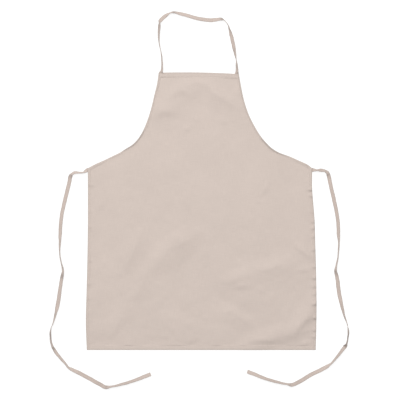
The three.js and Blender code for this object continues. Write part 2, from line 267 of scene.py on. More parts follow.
LEFT_KINKS = rows_of(
    Kink,
    (72, 8, 2, 0.4), (381, 10, 4, 0.8), (500, 14, 1, 0.35), (567, 9, 3, 0.5), (607, 6, 4, 0.8),
    (793, 16, 1, 0.2), (813, 6, 2, 0.5), (870, 45, 0, 0.4),
)
RIGHT_KINKS = rows_of(
    Kink,
    (38, 22, 0, 0.35), (72, 9, 2, 0.2), (368, 9, 4, 0.55), (569, 12, 3, 0.65), (600, 5, 4, 0.3),
    (645, 35, 0, 0.3), (792, 14, 1, 0.2), (813, 6, 2, 0.5), (860, 45, 0, 0.35),
)


def smoothstep(value: Array, low: float, high: float) -> Array:
    """Eases from 0 to 1.

    Args:
        value: What to ease.
        low: Where the result is still 0.
        high: Where the result has come to 1.

    Returns:
        The eased values.
    """
    t = np.clip((value - low) / (high - low), 0.0, 1.0)
    return t * t * (3.0 - 2.0 * t)


def hump(value: Array, rise: tuple[float, float], fall: tuple[float, float]) -> Array:
    """Eases from 0 to 1 over one stretch and back to 0 over another."""
    return smoothstep(value, *rise) * (1.0 - smoothstep(value, *fall))


def mix(start: Any, end: Any, share: Any) -> Any:
    """The value that lies a share of the way from start to end."""
    return start + (end - start) * share


def curved(start: Any, end: Any, leaving: Any, arriving: Any, t: Array) -> Array:
    """A smooth curve from one value to another.

    Args:
        start: The first value.
        end: The other value.
        leaving: The slope at the start.
        arriving: The slope at the end.
        t: Shares of the way, from 0 to 1.

    Returns:
        The values at those shares.
    """
    return (
        start * (2 * t**3 - 3 * t**2 + 1)
        + end * (3 * t**2 - 2 * t**3)
        + leaving * (t**3 - 2 * t**2 + t)
        + arriving * (t**3 - t**2)
    )


def read_table(rows: Sequence[EdgeRow], side: Side, down: Array) -> Array:
    """Reads a table of the panel's edge on a smooth curve through its rows.

    Args:
        rows: The table.
        side: Which of its two edges.
        down: Shares of the way down.

    Returns:
        How far out the edge is at each of them.
    """
    downs = np.array([row.down for row in rows], float)
    values = np.array([row.left if side is Side.LEFT else row.right for row in rows], float)
    last = len(rows) - 1
    to = np.clip(np.searchsorted(downs, down), 1, last)
    start = to - 1
    before = np.maximum(to - 2, 0)
    after = np.minimum(to + 1, last)
    span = downs[to] - downs[start]
    slope_at_start = (values[to] - values[before]) / (downs[to] - downs[before])
    slope_at_end = (values[after] - values[start]) / (downs[after] - downs[start])
    t = np.clip((down - downs[start]) / span, 0.0, 1.0)
    return curved(values[start], values[to], span * slope_at_start, span * slope_at_end, t)


def ripple(along: Array, pitch: float, seed: int) -> Array:
    """A smooth uneven wave, the same on each run.

    Args:
        along: Lengths along a seam or a tape.
        pitch: The usual length from one bump to the next.
        seed: Picks the wave.

    Returns:
        Values from -1 to 1.
    """
    cells = along / (0.5 * pitch)
    first = math.floor(float(np.min(cells)))
    heights = np.random.default_rng(seed).uniform(-1, 1, int(np.ptp(cells)) + 3)
    low = np.floor(cells).astype(int)
    share = smoothstep(cells - low, 0.0, 1.0)
    return mix(heights[low - first], heights[low - first + 1], share)


def rumple(x: Array, y: Array, pitch: float, seed: int) -> Array:
    """A smooth uneven surface, the same on each run.

    Args:
        x: Places across.
        y: Places along.
        pitch: The size of a bump.
        seed: Picks the surface.

    Returns:
        Values from -1 to 1.
    """
    across, along = x / pitch, y / pitch
    columns, rows = int(np.ptp(across)) + 3, int(np.ptp(along)) + 3
    heights = np.random.default_rng(seed).uniform(-1, 1, (rows, columns))
    column = np.floor(across).astype(int)
    row = np.floor(along).astype(int)
    share_x = smoothstep(across - column, 0.0, 1.0)
    share_y = smoothstep(along - row, 0.0, 1.0)
    column -= column.min()
    row -= row.min()
    low = mix(heights[row, column], heights[row, column + 1], share_x)
    high = mix(heights[row + 1, column], heights[row + 1, column + 1], share_x)
    return mix(low, high, share_y)


def away_from_segment(
    x: Array, y: Array, start: Sequence[float], end: Sequence[float]
) -> tuple[Array, Array]:
    """Measures places against a straight segment.

    Args:
        x: Places across.
        y: Places along.
        start: The segment's first end.
        end: Its other end.

    Returns:
        Each place's distance from the segment, and how far along it the nearest point is, from 0 to 1.
    """
    dx, dy = end[0] - start[0], end[1] - start[1]
    along = np.clip(((x - start[0]) * dx + (y - start[1]) * dy) / (dx * dx + dy * dy), 0.0, 1.0)
    return np.hypot(x - start[0] - along * dx, y - start[1] - along * dy), along


def spaced(places: Array, pitch: float) -> Array:
    """Places at even distances along a line.

    Args:
        places: The line, one place in each row: X and Y, and then anything else that goes with them.
        pitch: The distance in plan that is wanted from one to the next.

    Returns:
        The evenly spaced places, both ends of the line included.
    """
    lengths = np.linalg.norm(np.diff(places[:, :2], axis=0), axis=1)
    reached = np.concatenate([[0.0], np.cumsum(lengths)])
    count = max(int(round(reached[-1] / pitch)), 1) + 1
    wanted = np.linspace(0.0, reached[-1], count)
    columns = [np.interp(wanted, reached, places[:, axis]) for axis in range(places.shape[1])]
    return np.stack(columns, axis=1)


def make_mesh(
    name: str, places: Array, faces: list[list[int]], cloth: Array | None = None
) -> bpy.types.Object:
    """Makes a smooth-shaded mesh object and puts it in the scene.

    Args:
        name: The piece's name.
        places: The corners, one in each row.
        faces: The corners of each face.
        cloth: Where each corner lies on the flat cloth, for the weave, and as a third value its share of
            painted shade.

    Returns:
        The object.
    """
    mesh = bpy.data.meshes.new(name)
    mesh.from_pydata(places.tolist(), [], faces)
    if cloth is not None:
        attribute = mesh.attributes.new(WeaveFinish.PLACE, "FLOAT_VECTOR", "POINT")
        attribute.data.foreach_set("vector", np.ascontiguousarray(cloth, np.float32).ravel())
    mesh.shade_smooth()
    mesh.update()
    piece = bpy.data.objects.new(name, mesh)
    bpy.context.scene.collection.objects.link(piece)
    return piece


def tube_faces(sections: int, corners: int) -> list[list[int]]:
    """Faces of a closed tube of sections that follow one another.

    Args:
        sections: How many sections.
        corners: How many corners each has.

    Returns:
        The faces of its wall and of its two ends.
    """
    faces = []
    for section in range(sections - 1):
        here = section * corners
        for corner in range(corners):
            beside = (corner + 1) % corners
            faces.append([here + corner, here + beside, here + corners + beside, here + corners + corner])
    last = (sections - 1) * corners
    return [*faces, [*reversed(range(corners))], [*range(last, last + corners)]]


def settle(piece: bpy.types.Object, material: bpy.types.Material) -> bpy.types.Object:
    """Gives a finished piece its material, and lets it ride with the apron.

    Args:
        piece: The piece, in place.
        material: Its finish.

    Returns:
        The piece.
    """
    piece.data.materials.append(material)
    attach(piece, BODY)
    log.info("%s: %d corners, %d faces", piece.name, len(piece.data.vertices), len(piece.data.polygons))
    return piece


class Wire:
    """A shader socket that can stand in an expression. Each operation adds a Math node."""

    def __init__(self, shader: "Shader", socket: bpy.types.NodeSocket) -> None:
        """Keeps the socket and the shader that it belongs to."""
        self.shader = shader
        self.socket = socket

    def _math(self, operation: str, *values: Any) -> "Wire":
        """Adds a Math node."""
        return self.shader.add("ShaderNodeMath", {"operation": operation}, dict(enumerate(values)))

    def __add__(self, other: Any) -> "Wire":
        """Self plus other."""
        return self._math("ADD", self, other)

    def __radd__(self, other: Any) -> "Wire":
        """Other plus self."""
        return self._math("ADD", other, self)

    def __sub__(self, other: Any) -> "Wire":
        """Self less other."""
        return self._math("SUBTRACT", self, other)

    def __rsub__(self, other: Any) -> "Wire":
        """Other less self."""
        return self._math("SUBTRACT", other, self)

    def __mul__(self, other: Any) -> "Wire":
        """Self times other."""
        return self._math("MULTIPLY", self, other)

    def __rmul__(self, other: Any) -> "Wire":
        """Other times self."""
        return self._math("MULTIPLY", other, self)

    def sine(self) -> "Wire":
        """The sine."""
        return self._math("SINE", self)

    def size(self) -> "Wire":
        """The value without its sign."""
        return self._math("ABSOLUTE", self)

    def beside(self, out: str) -> "Wire":
        """Another output of the same node."""
        return Wire(self.shader, self.socket.node.outputs[out])


class Shader:
    """The node tree of one material."""

    def __init__(self, name: str) -> None:
        """Starts a material with an empty node tree.

        Args:
            name: The material's name.
        """
        self.material = bpy.data.materials.new(name)
        self.material.use_nodes = True
        self.tree = self.material.node_tree
        self.tree.nodes.clear()

    def add(self, kind: str, settings: dict[str, Any], sockets: dict[Any, Any], out: Any = 0) -> Wire:
        """Adds a node.

        Args:
            kind: The node's type.
            settings: Its own settings, which are set first.
            sockets: A value or a wire for each input that is set, by name or number.
            out: The output that is handed back.

        Returns:
            That output.
        """
        node = self.tree.nodes.new(kind)
        for name, value in settings.items():
            setattr(node, name, value)
        for name, value in sockets.items():
            if isinstance(value, Wire):
                self.tree.links.new(value.socket, node.inputs[name])
            else:
                node.inputs[name].default_value = value
        return Wire(self, node.outputs[out] if len(node.outputs) else None)

    def colour(self, low: Any, high: Any, share: Wire) -> Wire:
        """Mixes two colours.

        Args:
            low: The colour where the share is 0, or its wire.
            high: The colour where the share is 1, or its wire.
            share: How much of the second.

        Returns:
            The mixed colour.
        """
        return self.add("ShaderNodeMix", {"data_type": "RGBA"}, {0: share, 6: low, 7: high}, out=2)

    def noise(self, x: Wire, y: Wire, scale: float, detail: float) -> Wire:
        """Uneven values over the cloth.

        Args:
            x: Places across.
            y: Places along.
            scale: How fine the values are.
            detail: How many finer layers they have.

        Returns:
            The values.
        """
        place = self.add("ShaderNodeCombineXYZ", {}, {0: x, 1: y})
        return self.add("ShaderNodeTexNoise", {}, {"Vector": place, "Scale": scale, "Detail": detail})

    def finished(self, sockets: dict[str, Any]) -> bpy.types.Material:
        """Ends the tree with its surface.

        Args:
            sockets: A value or a wire for each of the surface's inputs that is set.

        Returns:
            The material.
        """
        surface = self.add("ShaderNodeBsdfPrincipled", {}, sockets)
        self.add("ShaderNodeOutputMaterial", {}, {"Surface": surface})
        return self.material


@dataclass(frozen=True)
class WeaveFinish:
    """Plain-woven undyed cotton: over-and-under threads, thicker and thinner ones, a little fading, and
    painted shade where the mesh asks for it.

    Attributes:
        name: The material's name.
        colour: Its usual colour, red, green and blue as a picture holds them.
        pitch: From one thread to the next.
        relief: How far the threads stand out.
        contrast: How far the colour varies either way.
        turned: How much darker painted shade makes the cloth at its fullest, as a share. The mesh asks for it
            at rolled edges, stitch grooves, tucks and kinks.
    """

    name: str
    colour: tuple[float, float, float]
    pitch: float = 0.0007
    relief: float = 0.00012
    contrast: float = 0.035
    turned: float = 0.13

    # The attribute holds a corner's place on the flat cloth, and as its third value the share of painted
    # shade.
    PLACE = "cloth_place"
    # How often a thread's thickness changes, in a metre across the threads and along them.
    THREAD_TO_THREAD = 900.0
    ALONG_THREAD = 35.0
    FADING = 9.0
    # How much each counts in the colour, and in the relief.
    SLUB_COLOUR = 0.9
    FADING_COLOUR = 0.6
    THREAD_COLOUR = 0.35
    THREAD_MIDDLE = 0.4
    THREAD_RELIEF = 0.6
    SLUB_RELIEF = 0.7

    def shade(self, change: float) -> tuple[float, float, float, float]:
        """The colour for a shader, by the usual curve of pictures, made lighter or darker by a share."""
        red, green, blue = (((value * (1.0 + change) + 0.055) / 1.055) ** 2.4 for value in self.colour)
        return red, green, blue, 1.0

    def make(self) -> bpy.types.Material:
        """Makes the material.

        Returns:
            The material.
        """
        shader = Shader(self.name)
        place = shader.add("ShaderNodeAttribute", {"attribute_name": self.PLACE}, {}, out="Vector")
        across = shader.add("ShaderNodeSeparateXYZ", {}, {0: place}, out="X")
        along, edge = across.beside("Y"), across.beside("Z")
        turn = math.pi / self.pitch
        threads = ((across * turn).sine() * (along * turn).sine()).size()
        fast, slow = self.THREAD_TO_THREAD, self.ALONG_THREAD
        warp = shader.noise(across * fast, along * slow, scale=1.0, detail=2.0)
        weft = shader.noise(across * slow, along * fast, scale=1.0, detail=2.0)
        fading = shader.noise(across, along, self.FADING, detail=3.0)
        slubs = warp + weft - 1.0
        share = 0.5 + slubs * self.SLUB_COLOUR + (fading - 0.5) * self.FADING_COLOUR
        share = share + (threads - self.THREAD_MIDDLE) * self.THREAD_COLOUR
        woven = shader.colour(self.shade(-self.contrast), self.shade(self.contrast), share)
        # Painted shade: the attribute's third value darkens the woven colour at rolled edges, stitch grooves,
        # tucks and kinks, where shade falls.
        colour = shader.colour(woven, self.shade(-self.turned), edge)
        height = threads * self.THREAD_RELIEF + slubs * self.SLUB_RELIEF
        bump = shader.add(
            "ShaderNodeBump", {}, {"Height": height, "Distance": self.relief, "Strength": 0.6}
        )
        return shader.finished({
            "Base Color": colour,
            "Roughness": 0.95,
            "Specular IOR Level": 0.15,
            "Sheen Weight": 0.12,
            "Sheen Roughness": 0.6,
            "Normal": bump,
        })


@dataclass(frozen=True)
class Outline:
    """The panel's edge as it lies.

    Attributes:
        bib_width: Between the two top corners.
        bib_height: From the waist line up to the lower of the two top corners.
        bib_arch: How far the top edge bows up above that corner.
        arch_peak: Where the bow is highest, from -1 at the left corner to 1 at the right.
        waist_width: Between the two tie corners.
        skirt_length: From the waist line down to the bottom edge.
        skirt_flare: The most that a side of the skirt bows out past its tie corner.
        disc_steps: How finely the edge is felt for a line inside it.
    """

    bib_width: float = 0.246
    bib_height: float = 0.288
    bib_arch: float = 0.0055
    arch_peak: float = -0.35
    waist_width: float = 0.686
    skirt_length: float = 0.556
    skirt_flare: float = 0.015
    disc_steps: int = 25

    def half_width(self, side: Side, y: Array) -> Array:
        """Distance from the middle line out to an edge.

        Args:
            side: Which edge.
            y: Heights on the panel.

        Returns:
            The distance at each of them.
        """
        spread = read_table(ARMHOLES, side, 1.0 - y / self.bib_height)
        bib = mix(self.bib_width / 2, self.waist_width / 2, spread)
        skirt = self.waist_width / 2 + self.skirt_flare * read_table(SIDES, side, -y / self.skirt_length)
        return np.where(y > 0, bib, skirt)

    def inside(self, side: Side, y: Array, depth: Array) -> Array:
        """The same distance for a line inside the edge. A disc that rolls along the edge marks the line.

        Args:
            side: Which edge.
            y: Heights on the panel.
            depth: The disc's radius at each of them.

        Returns:
            The distance from the middle line at each of them.
        """
        angles = np.linspace(-math.pi / 2, math.pi / 2, self.disc_steps)
        beside = y[..., None] + depth[..., None] * np.sin(angles)
        edge_y = np.clip(beside, -self.skirt_length, self.bib_height)
        reach = self.half_width(side, edge_y) - depth[..., None] * np.cos(angles)
        return reach.min(axis=-1)

    def row_bow(self, y: Array, across: Array) -> Array:
        """How much a row of the panel bows up.

        Args:
            y: Heights on the panel.
            across: From -1 at the left edge to 1 at the right.

        Returns:
            The rise at each place.
        """
        near_top = (np.maximum(y, 0.0) / self.bib_height) ** 2
        return self.bib_arch * near_top * (1.0 - ((across - self.arch_peak) / (1.0 - self.arch_peak)) ** 2)

    def on_panel(self, share_x: float, share_y: float) -> tuple[float, float]:
        """A place given in the shares of the table of folds."""
        length = self.bib_height if share_y > 0 else self.skirt_length
        return share_x * self.waist_width / 2, share_y * length


@dataclass(frozen=True)
class Seats:
    """Where the tapes are sewn in under the panel's corners.

    Attributes:
        outline: The panel's edge.
        tape_tuck: The length of tape that is sewn in under a hem.
        strap_inset: From a top corner of the bib to the middle of the strap.
        tie_inset: From a tie corner down to the middle of the tie.
        lift: How far the cloth is raised over a sewn end.
        reach: How far past the sewn end the cloth over it stays raised.
        slope: The length over which it comes back down.
    """

    outline: Outline
    tape_tuck: float = 0.012
    strap_inset: float = 0.007
    tie_inset: float = 0.005
    lift: float = 0.0017
    reach: float = 0.024
    slope: float = 0.04

    def neck(self, side: Side) -> tuple[Place, Place]:
        """Places a sewn end of the neck strap.

        Args:
            side: Which side.

        Returns:
            Its end under the hem, and where it leaves the edge.
        """
        top = np.array(self.outline.bib_height)
        x = side.value * (float(self.outline.half_width(side, top)) - self.strap_inset)
        y = self.outline.bib_height + float(self.outline.row_bow(top, np.array(side.value)))
        return Place(x, y - self.tape_tuck, 0), Place(x, y, 0)

    def tie(self, side: Side) -> tuple[Place, Place]:
        """A sewn end of a tie: its end under the hem, and where it leaves the edge."""
        x = side.value * float(self.outline.half_width(side, np.array(0.0)))
        return Place(x - side.value * self.tape_tuck, -self.tie_inset, 0), Place(x, -self.tie_inset, 0)

    def raised(self, x: Array, y: Array) -> Array:
        """How far the cloth is raised over the sewn ends.

        Args:
            x: Places across.
            y: Places along.

        Returns:
            The share at each place, from 0 to 1.
        """
        share = np.zeros_like(x)
        for end, edge in [*map(self.neck, Side), *map(self.tie, Side)]:
            away, _ = away_from_segment(x, y, end[:2], edge[:2])
            share = np.maximum(share, 1.0 - smoothstep(away, self.reach, self.reach + self.slope))
        return share


@dataclass(frozen=True)
class Hem:
    """A turned and stitched hem.

    Attributes:
        width: From the edge to the inner fold.
        seed: Picks its puckers.
        pucker: How high its puckers are.
        pucker_pitch: How far apart they are.
        shade: How much painted shade its rounded edge takes.
    """

    width: float
    seed: int
    pucker: float = 0.0003
    pucker_pitch: float = 0.03
    shade: float = 0.5

    STITCH_INSET = 0.0018
    EDGE_ROLL = 0.0042
    INNER_SLOPE = 0.0008
    GROOVE_DEPTH = 0.0004
    GROOVE_WIDTH = 0.0009
    PUCKER_REACH = 0.03
    FINE_PUCKERS = 0.4
    # Where the lines of corners run: over the rounded edge, over the flat of the hem up to FLAT_END before
    # the stitches, at the stitches, and at the inner fold.
    ROLL_SHARES = (0.0, 0.03, 0.1, 0.25, 0.5, 0.75)
    FLAT_SHARES = (0.0, 0.5, 1.0)
    FLAT_END = 0.0014
    STITCH_STEPS = (-0.0007, 0.0, 0.0007)
    INNER_STEPS = (-0.0006, 0.0, 0.0006, 0.003, 0.006)
    # Where the painted shade of the rounded edge starts to fade and where it ends, in shares of the rounded
    # edge.
    SHADED = (0.4, 1.5)

    @classmethod
    def stations(cls, width: Array) -> Array:
        """Distances from the edge at which a hem needs a line of corners.

        Args:
            width: The hem's width, one for each row.

        Returns:
            The distances, one row for each width.
        """
        stitch = width - cls.STITCH_INSET
        lines = [cls.EDGE_ROLL * share * np.ones_like(width) for share in cls.ROLL_SHARES]
        lines += [mix(cls.EDGE_ROLL, stitch - cls.FLAT_END, share) for share in cls.FLAT_SHARES]
        lines += [stitch + step for step in cls.STITCH_STEPS]
        lines += [width + step for step in cls.INNER_STEPS]
        return np.stack(lines, axis=-1)

    def layers(self, depth: Array, width: Array | float) -> Array:
        """How much of the turned-under cloth lies below, from 0 to 1."""
        return 1.0 - smoothstep(depth - width, -self.INNER_SLOPE, self.INNER_SLOPE)

    def groove(self, depth: Array, width: Array | float) -> Array:
        """How much the stitching pulls the cloth down, from 0 to 1."""
        return np.exp(-(((depth - width + self.STITCH_INSET) / self.GROOVE_WIDTH) ** 2))

    def edge(self, depth: Array) -> Array:
        """How much painted shade its rounded edge takes, from 0 to 1."""
        return self.shade * (1.0 - smoothstep(depth, *(self.EDGE_ROLL * share for share in self.SHADED)))

    def puckers(self, depth: Array, along: Array) -> Array:
        """How far the cloth is gathered up beside the stitching.

        Args:
            depth: Distances from the edge.
            along: Lengths along the edge.

        Returns:
            The rise at each place.
        """
        near = hump(depth, (0.0, self.width), (self.width, self.PUCKER_REACH))
        coarse = ripple(along, self.pucker_pitch, self.seed)
        fine = ripple(along, self.pucker_pitch * self.FINE_PUCKERS, self.seed + 1)
        return self.pucker * near * (coarse + self.FINE_PUCKERS * fine)


@dataclass
class Panel:
    """The one piece of cloth, bib and skirt in one, with its turned hems.

    Attributes:
        outline: Its edge.
        seats: Where the tapes are sewn in.
        cloth: The thickness of one layer.
        hem_thickness: The thickness of a hem.
        slack: How far the cloth stands off the floor between its hems.
        fold_height: The height of the highest soft fold.
        fold_width: From the crest of the widest soft fold to where it runs out.
        fold_end_share: How high a fold still is at its ends, as a share of its crest.
        rows: How many rows of corners there are between the top hem and the bottom hem.
        columns: How many columns of corners there are between the side hems.
    """

    outline: Outline
    seats: Seats
    cloth: float = 0.0009
    hem_thickness: float = 0.002
    slack: float = 0.0007
    fold_height: float = 0.006
    fold_width: float = 0.06
    fold_end_share: float = 0.35
    rows: int = 264
    columns: int = 128
    # Each hem's shade is how much painted shade its rounded edge takes.
    top_hem: Hem = field(default_factory=lambda: Hem(0.014, seed=11, shade=0.42))
    bottom_hem: Hem = field(default_factory=lambda: Hem(0.014, seed=21, shade=0.1))
    side_hem: Hem = field(default_factory=lambda: Hem(0.009, seed=31, pucker=0.0005, shade=0.28))
    armhole_hem: Hem = field(default_factory=lambda: Hem(0.007, seed=41, pucker_pitch=0.018, shade=0.28))

    ROW_SPREAD = 1.2
    EDGE_LEFT = 0.3
    EDGE_LOW = 0.3
    WAIST_BLEND = 0.012
    TUCK_LENGTH = 0.011
    TUCK_REACH = 0.0032
    # The tuck height at which the painted shade beside a tuck is darkest.
    TUCK_DARKEST = 3.1
    TUCK_STEEP = 4
    TUCK_GENTLE = 8
    # Painted shade in the stitch grooves, and how much more of it the armholes take where they curve out.
    GROOVE_SHADE = 0.14
    CURVE_SHADE = 11.0
    # Where the painted shade on an armhole's edge grows and fades again, in metres above the waist line.
    RIGHT_CURVE = ((0.035, 0.055), (0.07, 0.095))
    LEFT_CURVE = ((0.045, 0.068), (0.1, 0.125))
    LEFT_CURVE_SHARE = 0.5
    # The sizes of the rumples' bumps, and where below the waist line they come to their full height.
    COARSE_RUMPLE = 0.045
    FINE_RUMPLE = 0.017
    FINE_RUMPLE_SHARE = 0.55
    BIB_RUMPLE_SHARE = 0.5
    RUMPLE_GROWS = (0.1, 0.35)
    # From a crease's places to its crest, in widths of its steep side, and how far down its fade starts.
    CREST_BESIDE = 0.7
    CREASE_END = 0.1
    EDGE_STEPS = 1600
    EDGE_PITCH = 0.002
    PLACES_AT_ONCE = 4000

    def side_width(self, y: Array) -> Array:
        """Width of the hem at the side: the armhole's above the waist line and the skirt's below it."""
        share = smoothstep(y, -self.WAIST_BLEND, self.WAIST_BLEND)
        return mix(self.side_hem.width, self.armhole_hem.width, share)

    def row_heights(self) -> Array:
        """Spaces the rows of corners.

        Returns:
            Their heights, from the bottom edge up to the top edge.
        """
        outline = self.outline
        bottom = Hem.stations(np.array(self.bottom_hem.width)) - outline.skirt_length
        top = outline.bib_height - Hem.stations(np.array(self.top_hem.width))[::-1]
        share = outline.skirt_length / (outline.skirt_length + outline.bib_height)
        below = int(self.rows * share)
        skirt = bottom[-1] * np.linspace(1.0, 0.0, below + 1) ** self.ROW_SPREAD
        bib = top[0] * np.linspace(0.0, 1.0, self.rows - below + 1) ** self.ROW_SPREAD
        return np.concatenate([bottom, skirt[1:], bib[1:-1], top])

    def grid(self) -> tuple[Array, Array, Array]:
        """Lays out the corners of one face.

        Returns:
            X and Y of each corner, one row for each row of the panel, and each row's height.
        """
        heights = self.row_heights()
        depths = Hem.stations(self.side_width(heights))
        spread = np.repeat(heights[:, None], depths.shape[1], axis=1)
        left = -self.outline.inside(Side.LEFT, spread, depths)
        right = self.outline.inside(Side.RIGHT, spread, depths)
        shares = np.linspace(0.0, 1.0, self.columns + 1)[1:-1]
        middle = mix(left[:, -1:], right[:, -1:], shares[None, :])
        x = np.concatenate([left, middle, right[:, ::-1]], axis=1)
        return x, self.bowed(x, heights[:, None]), heights

    def bowed(self, x: Array, heights: Array) -> Array:
        """Bows the rows of the panel.

        Args:
            x: Places across.
            heights: The height of each place's row.

        Returns:
            Y of each place.
        """
        left = self.outline.half_width(Side.LEFT, heights)
        right = self.outline.half_width(Side.RIGHT, heights)
        across = np.where(x < 0, x / left, x / right)
        return heights + self.outline.row_bow(heights, across)

    def edge_line(self, side: Side, depth: Callable[[Array], Array], pitch: float) -> Array:
        """A line along one side, at a distance inside the edge.

        Args:
            side: Which side.
            depth: Works out the line's distance from the edge at each height.
            pitch: The distance from one of its places to the next.

        Returns:
            The line's places from the bottom up.
        """
        heights = np.linspace(-self.outline.skirt_length, self.outline.bib_height, self.EDGE_STEPS)
        x = side.value * self.outline.inside(side, heights, depth(heights))
        return spaced(np.stack([x, self.bowed(x, heights)], axis=1), pitch)

    def edge_depths(self, x: Array, y: Array, side: Side) -> tuple[Array, Array]:
        """Measures places against one side of the panel.

        Args:
            x: Places across.
            y: Places along.
            side: Which side.

        Returns:
            Each place's distance from that edge, and the length along the edge of the nearest point.
        """
        edge = self.edge_line(side, np.zeros_like, self.EDGE_PITCH)
        depths, along = np.empty(x.size), np.empty(x.size)
        flat_x, flat_y = x.ravel(), y.ravel()
        for first in range(0, x.size, self.PLACES_AT_ONCE):
            part = slice(first, first + self.PLACES_AT_ONCE)
            away = np.hypot(flat_x[part, None] - edge[:, 0], flat_y[part, None] - edge[:, 1])
            nearest = away.argmin(axis=1)
            depths[part] = away[np.arange(len(nearest)), nearest]
            along[part] = nearest * self.EDGE_PITCH
        return depths.reshape(x.shape), along.reshape(x.shape)

    def folds(self, x: Array, y: Array) -> Array:
        """Adds up the soft folds.

        Args:
            x: Places across.
            y: Places along.

        Returns:
            Their height at each place.
        """
        height = np.zeros_like(x)
        for fold in FOLDS:
            start = self.outline.on_panel(fold.from_x, fold.from_y)
            end = self.outline.on_panel(fold.to_x, fold.to_y)
            away, along = away_from_segment(x, y, start, end)
            across = np.clip(away / (fold.width * self.fold_width), 0.0, 1.0)
            crest = mix(self.fold_end_share, 1.0, np.sin(math.pi * along))
            height += fold.height * self.fold_height * crest * np.cos(across * math.pi / 2) ** 2
        return height

    def painted_tuck_shade(self, x: Array, y: Array, depth: Array) -> Array:
        """How much painted shade the tucks take, on their steep sides where shade falls.

        Args:
            x: Places across.
            y: Places along.
            depth: Distances from the side.

        Returns:
            The share at each place, from 0 to 1.
        """
        shade = np.zeros_like(x)
        for tuck in TUCKS:
            near = np.exp(-(((y - MM * tuck.y) / self.TUCK_REACH) ** 2) - (depth / self.TUCK_LENGTH) ** 2)
            share = min(tuck.height / self.TUCK_DARKEST, 1.0)
            shade = np.maximum(shade, np.where(x * tuck.side.value > 0, share * near, 0.0))
        return shade

    def tucks(self) -> list[Crease]:
        """Lays the short ridges across the side hems.

        Returns:
            A crease for each.
        """
        found = []
        for tuck in TUCKS:
            edge = tuck.side.value * float(self.outline.half_width(tuck.side, np.array(MM * tuck.y))) / MM
            inner = edge - tuck.side.value * self.TUCK_LENGTH / MM
            left, right = sorted((edge, inner))
            places = ((left, tuck.y), (right, tuck.y))
            found.append(Crease(places, self.TUCK_STEEP, self.TUCK_GENTLE, tuck.height))
        return found

    @classmethod
    def crease(cls, crease: Crease, x: Array, y: Array) -> Array:
        """Height of one narrow crease, which fades towards its ends.

        Args:
            crease: The crease.
            x: Places across.
            y: Places along.

        Returns:
            The height at each place.
        """
        places = MM * np.array(crease.places, float)
        steep, gentle = MM * crease.steep, MM * crease.gentle
        spans = len(places) - 1
        nearest = np.full_like(x, np.inf)
        height = np.zeros_like(x)
        for span, (start, end) in enumerate(zip(places, places[1:])):
            length = np.linalg.norm(end - start)
            way = (end - start) / length
            ahead = (x - start[0]) * way[0] + (y - start[1]) * way[1]
            right = (x - start[0]) * way[1] - (y - start[1]) * way[0]
            away, along = away_from_segment(x, y, start, end)
            beyond = np.zeros_like(x)
            if span == 0:
                beyond += np.maximum(-ahead, 0.0)
            if span == spans - 1:
                beyond += np.maximum(ahead - length, 0.0)
            side = np.where(beyond > 0, right, np.copysign(away, right)) + cls.CREST_BESIDE * steep
            profile = np.exp(-((side / np.where(side > 0, steep, gentle)) ** 2) - (beyond / steep) ** 2)
            fade = np.sin(math.pi * (cls.CREASE_END + (1 - 2 * cls.CREASE_END) * (span + along) / spans))
            height = np.where(away < nearest, profile * fade, height)
            nearest = np.minimum(away, nearest)
        return MM * crease.height * height

    def depths(self, x: Array, y: Array, heights: Array) -> tuple[tuple[Array, Array, Array], Array]:
        """Measures the corners against the edges, and gathers the cloth up beside the stitching.

        Args:
            x: X of the corners.
            y: Y of the corners.
            heights: The height of each row.

        Returns:
            Distances from the nearer side, from the top and from the bottom, and the height of the puckers.
        """
        across = x.shape[1]
        stations = Hem.stations(self.side_width(heights))
        count = stations.shape[1]
        near_waist = smoothstep(y, -self.WAIST_BLEND, self.WAIST_BLEND)
        side_depth, puckers = np.full_like(x, np.inf), np.zeros_like(x)
        for side in Side:
            depth, along = self.edge_depths(x, y, side)
            if side is Side.LEFT:
                depth[:, :count] = stations
            else:
                depth[:, across - count:] = stations[:, ::-1]
            side_depth = np.minimum(side_depth, depth)
            armhole = self.armhole_hem.puckers(depth, along + side.value)
            skirt = self.side_hem.puckers(depth, along + side.value)
            puckers += mix(skirt, armhole, near_waist)
        top_depth = np.repeat(self.outline.bib_height - heights[:, None], across, axis=1)
        bottom_depth = np.repeat(self.outline.skirt_length + heights[:, None], across, axis=1)
        puckers += self.top_hem.puckers(top_depth, x) + self.bottom_hem.puckers(bottom_depth, x)
        return (side_depth, top_depth, bottom_depth), puckers

    def turned(
        self, depths: tuple[Array, Array, Array], heights: Array
    ) -> tuple[Array, Array, Array, Array]:
        """Turns and stitches the hems.

        Args:
            depths: Distances from the nearer side, from the top and from the bottom.
            heights: The height of each row.

        Returns:
            How much of the cloth is a single layer, how much the stitching pulls it down, how full it is
            after its rounded edge, and how much painted shade its edge takes, all from 0 to 1.
        """
        hems = (self.side_hem, self.top_hem, self.bottom_hem)
        widths = (self.side_width(heights)[:, None], self.top_hem.width, self.bottom_hem.width)
        single, roll = np.ones_like(depths[0]), np.ones_like(depths[0])
        groove, shade = np.zeros_like(depths[0]), np.zeros_like(depths[0])
        for hem, depth, width in zip(hems, depths, widths):
            single *= 1.0 - hem.layers(depth, width)
            groove = np.maximum(groove, hem.groove(depth, width))
            inward = 1.0 - np.clip(depth / hem.EDGE_ROLL, 0.0, 1.0)
            roll = np.minimum(roll, np.maximum(np.sqrt(1.0 - inward**2), self.EDGE_LEFT))
            shade = np.maximum(shade, hem.edge(depth))
        return single, groove, roll, shade

    def painted_armhole_shade(self, x: Array, y: Array, depth: Array) -> Array:
        """How much painted shade the armholes' edges take, most of it where they curve out.

        Args:
            x: Places across.
            y: Places along.
            depth: Distances from the side.

        Returns:
            The share at each place.
        """
        at_armhole = smoothstep(y, -self.WAIST_BLEND, 3 * self.WAIST_BLEND)
        right = hump(y, *self.RIGHT_CURVE)
        left = self.LEFT_CURVE_SHARE * hump(y, *self.LEFT_CURVE)
        stronger = 1.0 + self.CURVE_SHADE * np.where(x > 0, right, left)
        return at_armhole * stronger * self.armhole_hem.edge(depth)

